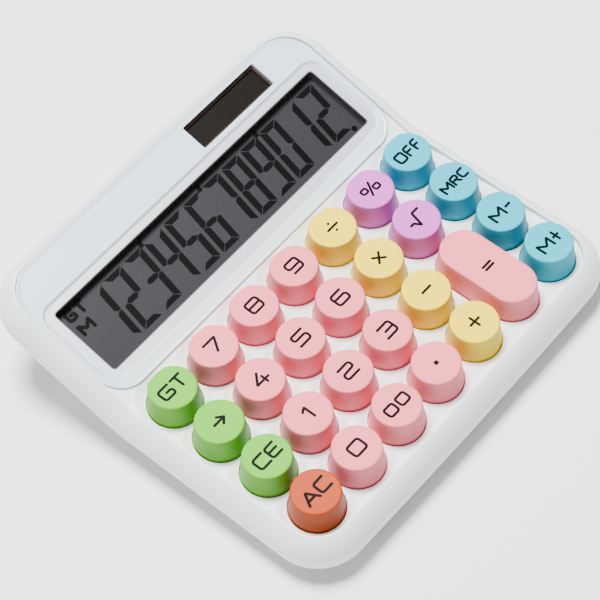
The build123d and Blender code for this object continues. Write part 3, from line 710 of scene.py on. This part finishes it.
SHORTEST = 0.01
POINT_SIZE = 0.72
DIVIDE_HALF = 2.1
DIVIDE_RISE = 1.8
DIVIDE_DOT = 0.5
PERCENT_SLASH = (1.35, 2.3)
PERCENT_RINGS = ((-2.15, 0.75), (2.15, -0.75))
PERCENT_RING = (2.2, 1.9)
PERCENT_SOFT = 0.7
PERCENT_STROKE = STROKE * 0.9


def soften(line, radius):
    """The line with each inner corner rounded off by a short curve."""
    out = [line[0]]
    for before, corner, after in zip(line, line[1:], line[2:]):
        way_in, way_out = Vector(before) - Vector(corner), Vector(after) - Vector(corner)
        cut = min(radius, way_in.length * SOFTEST, way_out.length * SOFTEST)
        a = Vector(corner) + way_in.normalized() * cut
        b = Vector(corner) + way_out.normalized() * cut
        for k in range(SOFT_STEPS + 1):
            t = k / SOFT_STEPS
            spot = a * (1 - t) ** 2 + Vector(corner) * 2 * t * (1 - t) + b * t * t
            out.append(tuple(spot))
    return out + [line[-1]]


def capsule(start, end, width):
    """Outline of a round-ended stroke."""
    heading = atan2(end[1] - start[1], end[0] - start[0]) * 180 / pi
    half_x = width / 2 * sin(radians(heading))
    half_y = width / 2 * cos(radians(heading))
    line = arc(*end, width / 2, heading - 90, heading + 90, STROKE_END_STEPS)
    line.append((end[0] - half_x, end[1] + half_y))
    line += arc(*start, width / 2, heading + 90, heading + 270, STROKE_END_STEPS)
    line.append((start[0] + half_x, start[1] - half_y))
    return line


def strokes(lines, width):
    runs = [pair for line in lines for pair in zip(line, line[1:])]
    return [capsule(a, b, width) for a, b in runs if hypot(b[0] - a[0], b[1] - a[1]) > SHORTEST]


def text_lines(text, widths, height, gap, corner=ROUNDED):
    """Centre lines of a word about its own centre."""
    total = sum(widths) + gap * (len(text) - 1)
    left = -total / 2
    lines = []
    for sign, width in zip(text, widths):
        wide, high = width - STROKE, height - STROKE
        for line in GLYPHS[sign]:
            sized = [(left + STROKE / 2 + px * wide, (py - 0.5) * high) for px, py in line]
            lines.append(soften(sized, corner * SHARPNESS if sign in SHARP_SIGNS else corner))
        left += width + gap
    return lines


def ink_marks(name):
    """Outlines of a key's printed mark about the key's centre."""
    if name == "point":
        return [[(x * POINT_SIZE, y * POINT_SIZE) for x, y in ((-1, -1), (1, -1), (1, 1), (-1, 1))]]
    if name == "divide":
        dots = [arc(0, y, DIVIDE_DOT, 0, 360, 16) for y in (-DIVIDE_RISE, DIVIDE_RISE)]
        return strokes([[(-DIVIDE_HALF, 0), (DIVIDE_HALF, 0)]], STROKE) + dots
    if name == "percent":
        lines = [[tuple(-half for half in PERCENT_SLASH), PERCENT_SLASH]]
        wide, high = PERCENT_RING
        for cx, cy in PERCENT_RINGS:
            ring = [(cx + (px - 0.5) * wide, cy + (py - 0.5) * high) for px, py in GLYPHS["0"][0]]
            lines.append(soften(ring, PERCENT_SOFT))
        return strokes(lines, PERCENT_STROKE)
    return strokes(text_lines(*LEGENDS[name]), STROKE)


ink_finish = Finish("legend_ink", Specular_IOR_Level=0.04)
worn = ink_finish.noise(0.4, 3)
ink_finish.feed("Base Color", ink_finish.blend(worn, tint(3, 3, 5), tint(12, 12, 14)))
ink_finish.feed("Roughness", worn * 0.15 + 0.38)
for name, (key_x, key_y, tall) in keys.items():

    def on_cap(x, y, n, key_x=key_x, key_y=key_y):
        return place(key_x + x, key_y + y, CAP_HEIGHT + n)

    def cap_skin(x, y, tall=tall):
        away = hypot(x, max(abs(y) - tall, 0)) / (CAP_TOP - CAP_ROUND)
        return -CAP_HOLLOW * (1 - min(away, 1) ** 2)

    shape = fill(ink_marks(name))
    solid = slab(shape, lambda x, y: cap_skin(x, y) + INK, lambda x, y: cap_skin(x, y) - INK, on_cap)
    mark = make("legend_" + name, *solid, [ink_finish.material], "key_" + name)


# ------------------------------------------------------------------------------------
# Display panel. Pale blue-grey satin panel in the frame's slope, with a fine raised line
# inside its border and a shallow soft-edged recess, silver and speckled, round the window.
PANEL_BORDER = 0.15
RIDGE = 0.22
RIDGE_RISE = 0.35
RIDGE_END = 0.75
RIDGE_FALL = 0.45
EDGE_DROP = 0.25
EDGE_WIDE = 0.3
WINDOW = (61.75, 11.9, 37.6, 1.1)
RECESS = (66.0, 8.5, 40.9, 5.0)
RECESS_BOW = 1.7
RECESS_DEPTH = 0.7
RECESS_EDGE = 0.9
BAND_INSET = 0.3
WINDOW_WALL = 0.35
# Mesh lines either side of the recess's edge, and in from the border
RECESS_LINES = (-0.9, -0.6, -0.45, -0.3, -0.15, 0, 0.15, 0.3, 0.45, 0.6, 0.9)
BORDER_LINES = (0.12, 0.3, 0.5, 0.75, 0.95, 1.2, 1.6)
SOLAR = (31.9, 47.9, 34.4, 10.1)


def rounded_line(half, near, far, radius, grow=0.0, bow=0.0, across=0.0):
    """Rounded rectangle about x = across, with an outward bow in its near side."""
    half, near, far, radius = half + grow, near - grow, far + grow, radius + grow
    x, low, high = half - radius, near + radius, far - radius
    line = run((-x, near), (x, near), 24) + arc(x, low, radius, 270, 360, 10)
    line += run((half, low), (half, high), 10) + arc(x, high, radius, 0, 90, 10)
    line += run((x, far), (-x, far), 24) + arc(-x, high, radius, 90, 180, 10)
    line += run((-half, high), (-half, low), 10) + arc(-x, low, radius, 180, 270, 10)
    bowed = []
    for px, py in line:
        sag = bow * (1 - (px / half) ** 2) * smooth((high - py) / (high - near))
        bowed.append((px + across, py - sag))
    return bowed


def depth_inside(x, y, half, near, far, radius, bow=0.0):
    """How far inside a rounded rectangle a point is, negative outside."""
    high = far - radius
    if y < high:
        y += bow * (1 - (x / half) ** 2) * smooth((high - y) / (high - near))
    out_x = abs(x) - half + radius
    out_y = abs(y - (near + far) / 2) - (far - near) / 2 + radius
    return radius - hypot(max(out_x, 0), max(out_y, 0)) - min(max(out_x, out_y), 0)


def panel_outline(inset):
    """Border of the panel moved in by an inset: its near side, then its sides and rear."""
    border = PANEL_BORDER + inset
    whole = body_line(RIM_SIDE + border, RIM_REAR + border)
    return panel_line(-inset) + [p for p in whole if p[1] > PANEL_NEAR + PANEL_CORNER + 1]


def ring_distance(x, y, loop):
    """Distance of a point from the nearest side of a closed line."""
    best = inf
    for (ax, ay), (bx, by) in zip(loop, loop[1:] + loop[:1]):
        dx, dy = bx - ax, by - ay
        length = dx * dx + dy * dy
        t = min(max(((x - ax) * dx + (y - ay) * dy) / length, 0), 1) if length else 0
        best = min(best, hypot(x - ax - dx * t, y - ay - dy * t))
    return best


panel_border = panel_outline(0)


def panel_height(x, y):
    """Recess round the window, raised line inside the border, and rolled outer edge."""
    inside = depth_inside(x, y, *RECESS, RECESS_BOW)
    sunk = -RECESS_DEPTH * smooth((inside + RECESS_EDGE / 2) / RECESS_EDGE)
    edge = ring_distance(x, y, panel_border)
    line = RIDGE * smooth(edge / RIDGE_RISE) * (1 - smooth((edge - RIDGE_END) / RIDGE_FALL))
    fall = -EDGE_DROP * (1 - smooth(edge / EDGE_WIDE))
    return sunk + line + fall


def panel_floor(x, y):
    return -PLATE


solar_x, solar_y, solar_w, solar_h = SOLAR
window_hole = rounded_line(*WINDOW, grow=WINDOW_WALL)
solar_opening = (solar_w / 2, solar_y - solar_h / 2, solar_y + solar_h / 2)
solar_hole = rounded_line(*solar_opening, 0.6, across=solar_x)
panel_ridges = []
for grow in RECESS_LINES:
    panel_ridges.append(rounded_line(*RECESS, grow=grow, bow=RECESS_BOW))
for inset in BORDER_LINES:
    panel_ridges.append(panel_outline(inset))
panel_ridges.append(rounded_line(*WINDOW, grow=1.0))
panel_shape = fill([panel_border], [window_hole, solar_hole], ridges=panel_ridges)

satin = {"grain": 0.5, "depth": 0.004, "mottle": 0.012, "Coat_Weight": 0.25, "Coat_Roughness": 0.2}
panel_grey = moulded("panel_grey", (216, 229, 239), 0.34, **satin)
band = Finish("window_band", Metallic=0.35)
sparkle = band.noise(0.35, 3)
fleck = band.noise(0.9, 1)
band.feed("Base Color", band.blend(sparkle ** 1.5, tint(172, 178, 188), tint(222, 226, 234)))
band.feed("Roughness", fleck * 0.2 + 0.36)
band.feed("Normal", band.relief(sparkle, 0.012))
panel_solid = slab(panel_shape, panel_height, panel_floor)
flat, triangles = panel_shape
in_band = []
for t in triangles:
    cx, cy = sum(flat[i][0] for i in t) / 3, sum(flat[i][1] for i in t) / 3
    in_band.append(1 if depth_inside(cx, cy, *RECESS, RECESS_BOW) > BAND_INSET else 0)
in_band += [0] * (len(panel_solid[1]) - len(in_band))
panel_piece = make("slope_panel", *panel_solid, [panel_grey, band.material], which=in_band)
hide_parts("display_panel")


# ------------------------------------------------------------------------------------
# Window and liquid crystal display. A clear acrylic pane sits under the panel, a dark grey
# frame lines the opening down to the glass, and the digits lie in the glass's own plane.
LCD_LEVEL = -4.2
LINER_WALL = 0.33
SIGN_RISE = 0.03
SIGN_SINK = 0.05
black_plastic = moulded("black_plastic", (16, 16, 18), 0.45)
holder_plastic = moulded("holder_plastic", (74, 70, 74), 0.55)


def ring_slab(name, outer, inner, top, finish):
    """Flat ring from a level down to the underside of the panel."""
    shape = fill([outer], [inner])
    piece = make(name, *slab(shape, lambda x, y: top, lambda x, y: -PLATE), [finish])


liner_edge = rounded_line(*WINDOW, grow=LINER_WALL)
liner_top = -RECESS_DEPTH - 0.02
ring_slab("window_liner", liner_edge, rounded_line(*WINDOW), liner_top, holder_plastic)
lcd_finish = Finish("lcd_grey", Specular_IOR_Level=0.15)
cloud = lcd_finish.noise(26, 2)
fine = lcd_finish.noise(1.2, 2)
lcd_base = lcd_finish.blend(cloud, tint(38, 36, 39), tint(44, 41, 46))
lcd_finish.feed("Base Color", lcd_finish.blend(fine * 0.25, lcd_base, tint(54, 52, 58)))
lcd_finish.feed("Roughness", fine * 0.1 + 0.4)

# Which of the seven segments each digit lights: top, upper right, lower right, bottom,
# lower left, upper left, middle
LIT = {"0": "abcdef", "1": "bc", "2": "abged", "3": "abgcd", "4": "fgbc", "5": "afgcd",
       "6": "afgcde", "7": "abc", "8": "abcdefg", "9": "abcdfg"}
SHOWN = "123456789012"
DIGIT_PITCH = 9.36
FIRST_DIGIT = -48.1
DIGIT_LOW = 14.6
DIGIT_HEIGHT = 20.5
DIGIT_WIDTH = 8.0
UPRIGHT = 2.35
LEVEL_BAR = 1.95
SEGMENT_GAP = 0.26
SLANT = tan(radians(6.8))


def lean(points, centre):
    """A digit's points slanted about its middle and put in their place in the row."""
    return [(centre + x + (y - DIGIT_HEIGHT / 2) * SLANT, y + DIGIT_LOW) for x, y in points]


def segment(letter):
    """Outline of one segment in an upright digit cell, its foot at 0."""
    half, mid, top = DIGIT_WIDTH / 2, DIGIT_HEIGHT / 2, DIGIT_HEIGHT
    u, b, g = UPRIGHT, LEVEL_BAR, SEGMENT_GAP
    if letter in "ad":
        bar = [(-half + g, 0), (half - g, 0), (half - u - g * 0.2, b), (-half + u + g * 0.2, b)]
        return [(x, top - y) for x, y in bar][::-1] if letter == "a" else bar
    if letter == "g":
        return [(-half + u * 0.45 + g, mid), (-half + u + g, mid - b / 2), (half - u - g, mid - b / 2),
                (half - u * 0.45 - g, mid), (half - u - g, mid + b / 2), (-half + u + g, mid + b / 2)]
    side = [(half, g * 1.2), (half, mid - g * 0.7), (half - u * 0.5, mid - g * 0.4),
            (half - u, mid - b * 0.5 - g * 0.6), (half - u, b + g * 0.6)]
    if letter in "bf":
        side = [(x, top - y) for x, y in side][::-1]
    if letter in "ef":
        side = [(-x, y) for x, y in side][::-1]
    return side


marks = []
for place_number, digit in enumerate(SHOWN):
    centre = FIRST_DIGIT + DIGIT_PITCH * place_number
    marks += [lean(segment(letter), centre) for letter in LIT[digit]]
DECIMAL_POINT = (58.3, 13.9, 1.05)
marks.append(arc(*DECIMAL_POINT, 0, 360, 20))
LABEL_STROKE = 1.25
LABEL_GAP = 0.8


def label(text, widths, height, left, low):
    """Small sign of the display from its lower left corner."""
    lines = text_lines(text, widths, height, LABEL_GAP, corner=0.9)
    wide = sum(widths) + LABEL_GAP * (len(text) - 1)
    moved = [[(x + left + wide / 2, y + low + height / 2) for x, y in line] for line in lines]
    return strokes(moved, LABEL_STROKE)


segment_finish = Finish("segment_ink", Specular_IOR_Level=0.05)
soot = segment_finish.noise(2.0, 2)
segment_finish.feed("Base Color", segment_finish.blend(soot, tint(1, 1, 2), tint(4, 3, 5)))
segment_finish.feed("Roughness", soot * 0.1 + 0.42)
drawn = {"digits": marks}
drawn["grand_total_sign"] = label("GT", (3.7, 3.4), 4.2, -59.0, 32.4)
drawn["memory_sign"] = label("M", (5.4,), 4.1, -58.9, 26.6)
for name, outlines in drawn.items():
    shape = fill(outlines)
    solid = slab(shape, lambda x, y: LCD_LEVEL + SIGN_RISE, lambda x, y: LCD_LEVEL - SIGN_SINK)
    sign = make("lcd_" + name, *solid, [segment_finish.material])


class Tree:
    """A Geometry Nodes tree with named inputs that ends in one mesh."""

    def __init__(self, name, **inputs):
        self.group = bpy.data.node_groups.new(name, "GeometryNodeTree")
        self.ids = {}
        for title, kind in inputs.items():
            kind = "NodeSocket" + kind
            made = self.group.interface.new_socket(title, in_out="INPUT", socket_type=kind)
            self.ids[title] = made.identifier
        self.group.interface.new_socket("Geometry", in_out="OUTPUT", socket_type="NodeSocketGeometry")
        self.given = self.group.nodes.new("NodeGroupInput")

    def node(self, kind, settings=None, values=None):
        node = self.group.nodes.new(kind)
        for key, setting in (settings or {}).items():
            setattr(node, key, setting)
        for key, value in (values or {}).items():
            if isinstance(value, bpy.types.NodeSocket):
                self.group.links.new(value, node.inputs[key])
            else:
                node.inputs[key].default_value = value
        return node

    def finish(self, geometry, finish):
        """Ends the tree: plain geometry in one finish."""
        real = self.node("GeometryNodeRealizeInstances", {}, {"Geometry": geometry})
        values = {"Geometry": real.outputs[0], "Material": finish}
        painted = self.node("GeometryNodeSetMaterial", {}, values)
        end = self.group.nodes.new("NodeGroupOutput")
        self.group.links.new(painted.outputs[0], end.inputs[0])

    def grow(self, name, **given):
        """Plain mesh data that the tree makes from its inputs."""
        holder = bpy.data.objects.new(name, bpy.data.meshes.new(name))
        bpy.context.scene.collection.objects.link(holder)
        modifier = holder.modifiers.new(name, "NODES")
        modifier.node_group = self.group
        for title, value in given.items():
            modifier[self.ids[title]] = value
        evaluated = holder.evaluated_get(bpy.context.evaluated_depsgraph_get())
        grown = bpy.data.meshes.new_from_object(evaluated)
        bpy.data.objects.remove(holder)
        return grown


# Thousands marks: one small slanted stroke repeated along the top of the digits
MARK_X, MARK_Y = -23.6, 35.5
sizes = {"Count": "Int", "Spacing": "Float", "Wide": "Float", "High": "Float", "Thick": "Float"}
marks_row = Tree("row_of_marks", **sizes)
given = marks_row.given.outputs
step = marks_row.node("ShaderNodeCombineXYZ", {}, {"X": given["Spacing"]}).outputs[0]
line = {"Count": given["Count"], "Offset": step}
spots = marks_row.node("GeometryNodeMeshLine", {"mode": "OFFSET"}, line).outputs[0]
block_size = {"X": given["Wide"], "Y": given["High"], "Z": given["Thick"]}
block_size = marks_row.node("ShaderNodeCombineXYZ", {}, block_size).outputs[0]
block = marks_row.node("GeometryNodeMeshCube", {}, {"Size": block_size}).outputs[0]
copies = marks_row.node("GeometryNodeInstanceOnPoints", {}, {"Points": spots, "Instance": block})
marks_row.finish(copies.outputs[0], segment_finish.material)
spacing = DIGIT_PITCH * 3
grown = marks_row.grow("thousands_marks", Count=3, Spacing=spacing, Wide=1.7, High=2.3, Thick=0.08)
points = []
for vertex in grown.vertices:
    x, y, n = vertex.co
    points.append(place(x + MARK_X + y * SLANT * 2, y + MARK_Y, LCD_LEVEL + n))
faces = [tuple(polygon.vertices) for polygon in grown.polygons]
thousands = make("lcd_thousands_marks", points, faces, [segment_finish.material])

pane = Finish("clear_lens", Alpha=0.03, Roughness=0.05, Specular_IOR_Level=0.2)
smoke = pane.blend(pane.noise(30, 1), (0.02, 0.02, 0.022, 1), (0.03, 0.03, 0.032, 1))
pane.feed("Base Color", smoke)


# ------------------------------------------------------------------------------------
# Solar cell. A dark brown amorphous silicon strip under its own clear cover, with a lighter
# brown ledge round it that is moulded with the panel's opening.
LEDGE_WIDTH = 0.8
LEDGE_TOP = -1.32
ledge = moulded("solar_ledge", (52, 32, 25), 0.5, Specular_IOR_Level=0.2)
solar_outer = rounded_line(*solar_opening, 0.6, -0.02, across=solar_x)
solar_inner = rounded_line(*solar_opening, 1.1, -LEDGE_WIDTH, across=solar_x)
ring_slab("solar_ledge", solar_outer, solar_inner, LEDGE_TOP, ledge)
silicon = Finish("solar_cell", Specular_IOR_Level=0.1)
grain = silicon.noise(3, 3)
silicon.feed("Base Color", silicon.blend(grain, tint(7, 4, 3), tint(12, 8, 6)))
silicon.feed("Roughness", grain * 0.12 + 0.4)
cover = Finish("solar_cover", Alpha=0.04, Roughness=0.1, Specular_IOR_Level=0.2)
cover.feed("Base Color", cover.blend(cover.noise(12, 1), tint(40, 28, 24), tint(48, 34, 28)))


# ------------------------------------------------------------------------------------
# Dome sheet. Moulded silicone rubber over the key board, out of sight: a flat web with one
# hollow dome under each key.
BOARD_TOP = -7.2
WEB = 0.7
DOME_WIDE = 4.6
DOME_NARROW = 2.4
DOME_TOP = -3.78
DOME_SIDES = 24
silicone = moulded("dome_rubber", (226, 226, 222), 0.55)
WEB_HALF = 63.0
WEB_NEAR = -75.2
WEB_FAR = -1.2
POST_HOLE = 3.1
# Saddles between four keys where a post passes through, as column and row
saddles = [(0.5, 0.5), (5.5, 0.5), (0.5, 2.5), (3.5, 2.5)]
saddles += [(1.5, 0.5), (4.5, 0.5), (1.5, 2.5), (3.5, 1.5)]
web_line = [(-WEB_HALF, WEB_NEAR), (WEB_HALF, WEB_NEAR), (WEB_HALF, WEB_FAR), (-WEB_HALF, WEB_FAR)]
post_holes = []
for column, row in saddles:
    post_x, post_y = PITCH * (column - (COLUMNS - 1) / 2), -FIRST_ROW - PITCH * row
    post_holes.append(arc(post_x, post_y, POST_HOLE, 0, 360, 20))
web_solid = slab(fill([web_line], post_holes), lambda x, y: BOARD_TOP + WEB, lambda x, y: BOARD_TOP)
web = make("dome_web", *web_solid, [silicone])
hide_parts("dome_sheet")

rubber_dome = Tree("rubber_dome", Wide="Float", Narrow="Float", High="Float")
given = rubber_dome.given.outputs
cone = {"Radius Bottom": given["Wide"], "Radius Top": given["Narrow"], "Depth": given["High"]}
cone["Vertices"] = DOME_SIDES
rubber_dome.finish(rubber_dome.node("GeometryNodeMeshCone", {}, cone).outputs[0], silicone)
rise_of_dome = DOME_TOP - BOARD_TOP - WEB
dome_mesh = rubber_dome.grow("dome", Wide=DOME_WIDE, Narrow=DOME_NARROW, High=rise_of_dome)
dome_faces = [tuple(polygon.vertices) for polygon in dome_mesh.polygons]
web_top = BOARD_TOP + WEB
for name, (key_x, key_y, tall) in keys.items():
    spots = [vertex.co for vertex in dome_mesh.vertices]
    points = [place(key_x + x, key_y + y, web_top + n) for x, y, n in spots]
    dome = make("dome_" + name, points, dome_faces, [silicone])
    anchor = place(key_x, key_y, web_top)
    "key_" + name + "_press"
    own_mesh(dome)


# ------------------------------------------------------------------------------------
# Lower shell, door, feet, screws and what is inside. These keep their CAD shapes and get their
# finishes here: sparked white ABS, grey rubber, plated steel, and the board and battery parts.
def paint(finish, *nodes):
    for node in nodes:
        for holder in frame["nodes"][node].material_slots:
            holder.material = getattr(finish, "material", finish)


case_white = moulded("case_white", (230, 231, 230), 0.5, grain=0.3, depth=0.02)
rubber = moulded("foot_rubber", (140, 142, 145), 0.75, grain=0.4, depth=0.03, mottle=0.08)
steel = Finish("screw_steel", Metallic=1.0)
scratch = steel.noise(0.3, 3)
steel.feed("Base Color", steel.blend(scratch, tint(165, 166, 170), tint(205, 206, 210)))
steel.feed("Roughness", scratch * 0.2 + 0.25)
resist = Finish("circuit_board")
weave = resist.noise(1.5, 2)
resist.feed("Base Color", resist.blend(weave, tint(24, 92, 50), tint(34, 112, 62)))
resist.feed("Roughness", weave * 0.1 + 0.3)
plated = Finish("contact_plating", Metallic=1.0)
dull = plated.noise(2, 2)
plated.feed("Base Color", plated.blend(dull, tint(196, 194, 188), tint(222, 220, 214)))
plated.feed("Roughness", dull * 0.15 + 0.2)
epoxy = moulded("black_epoxy", (18, 18, 18), 0.35)
elastomer = moulded("elastomer", (208, 150, 160), 0.6)
red_lead = moulded("wire_insulation", (170, 30, 28), 0.45)
film = moulded("ribbon_film", (196, 140, 62), 0.35)
sleeve = moulded("cell_jacket", (40, 62, 118), 0.3)
paint(case_white, "bottom_case", "battery_door")
paint(rubber, "rubber_feet")
paint(steel, "case_screws", "key_board_screws", "display_board_screws")
paint(resist, "key_board", "display_board")
paint(plated, "spring_contact", "plate_contact")
paint(epoxy, "controller_chip", "capacitor")
paint(elastomer, "zebra_connector")
paint(red_lead, "battery_wires", "solar_wires")
paint(film, "keyboard_ribbon")
paint(sleeve, "battery_cell")
paint(holder_plastic, "lcd_holder")
paint(black_plastic, "battery_tray")
paint(lcd_finish.material, "lcd_glass")
paint(pane.material, "lcd_lens")
paint(silicon.material, "solar_cell")
paint(cover.material, "solar_cover")
